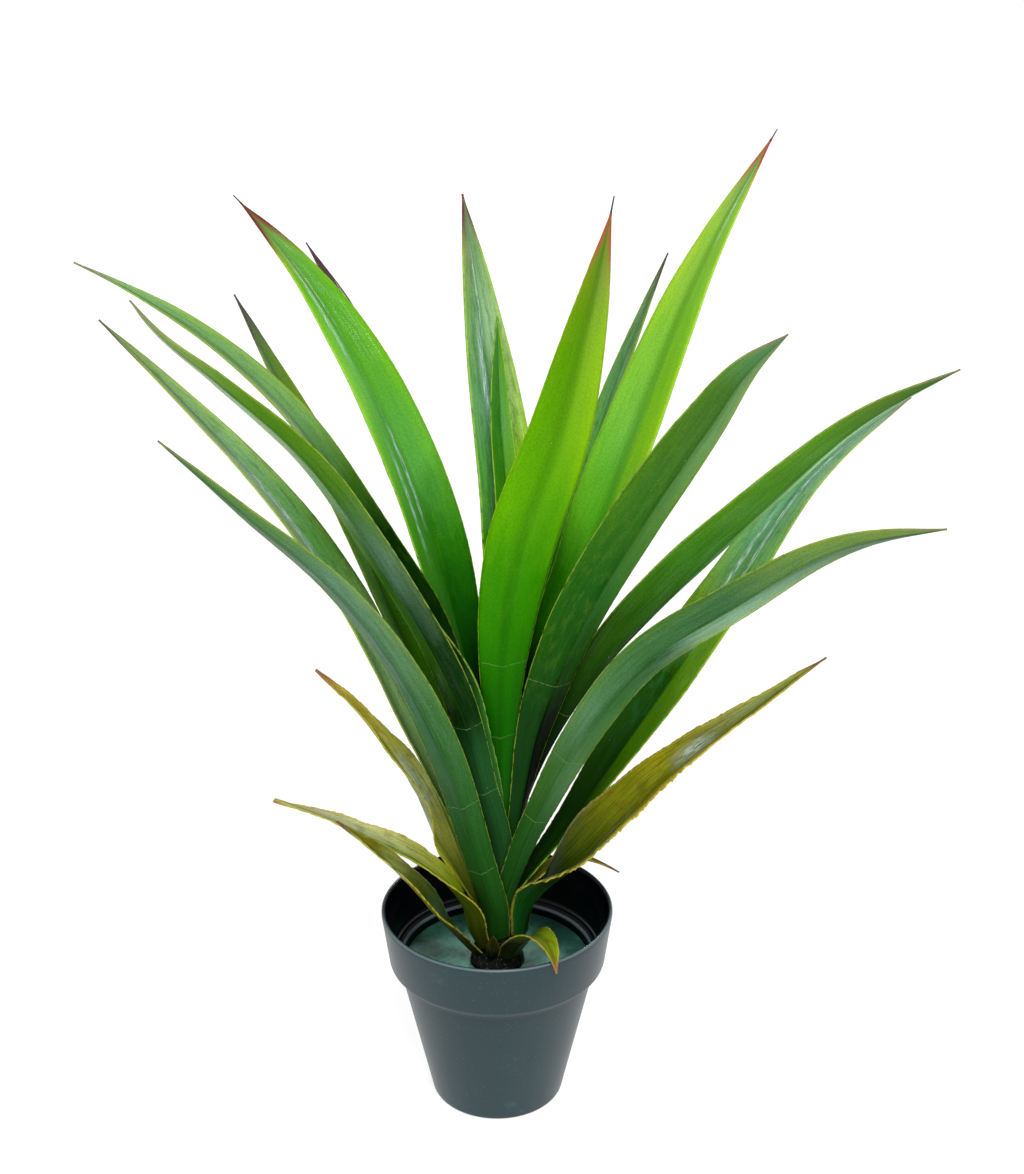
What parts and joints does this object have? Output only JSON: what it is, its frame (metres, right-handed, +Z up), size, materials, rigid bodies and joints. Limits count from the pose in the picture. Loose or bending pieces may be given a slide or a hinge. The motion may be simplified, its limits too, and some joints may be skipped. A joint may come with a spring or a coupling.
{
  "type": "potted yucca",
  "caption": "Artificial yucca with long arching sword leaves on a short hidden stem, standing in a round slate-grey plastic nursery pot with a painted filler disc.",
  "frame": {"origin": "centre of the pot's flat base, on the pot's axis", "axes": "+Z up along the pot's axis; -Y towards the side that a viewer sees, with the longest arching leaves spread along -X and +X"},
  "size_m": [0.5077, 0.2917, 0.6085],
  "materials": {
    "pot": "satin moulded slate-grey plastic, darker and glossier inside",
    "filler": "painted teal green, slightly mottled",
    "glue": "rough black glue and grit",
    "stem": "plain dark green plastic",
    "leaf_green": "glossy dark blue-green with thin yellow-green margins",
    "leaf_bright": "glossy, slightly translucent bright green with paler margins",
    "leaf_old": "olive and yellow with brown blotches and ragged margins",
    "tip_wire": "dark brown painted wire"
  },
  "bodies": {
    "root": {"pot": "pot", "filler_block": "filler", "glue_plug": "glue", "stem": "stem", "leaf_left_high": "leaf_green", "leaf_left_front": "leaf_green", "leaf_left_back": "leaf_green", "leaf_left_low": "leaf_green", "leaf_left_inner": "leaf_green", "leaf_upper_left": "leaf_bright", "leaf_upper_left_back": "leaf_bright", "leaf_top_centre": "leaf_bright", "leaf_top_small": "leaf_bright", "leaf_front_centre": "leaf_bright", "leaf_upper_right_back": "leaf_green", "leaf_upper_right": "leaf_bright", "leaf_right_front": "leaf_green", "leaf_right_high": "leaf_green", "leaf_right_back": "leaf_green", "leaf_right_arch": "leaf_green", "old_leaf_right": "leaf_old", "old_leaf_left_high": "leaf_old", "old_leaf_left_low": "leaf_old", "old_leaf_left_front": "leaf_old", "curled_leaf_front": "leaf_old", "sheath_front": "leaf_old", "old_leaf_back_right": "leaf_old", "tip_wire_upper_left": "tip_wire", "tip_wire_front_centre": "tip_wire", "tip_wire_upper_right": "tip_wire"}
  },
  "joints": []
}
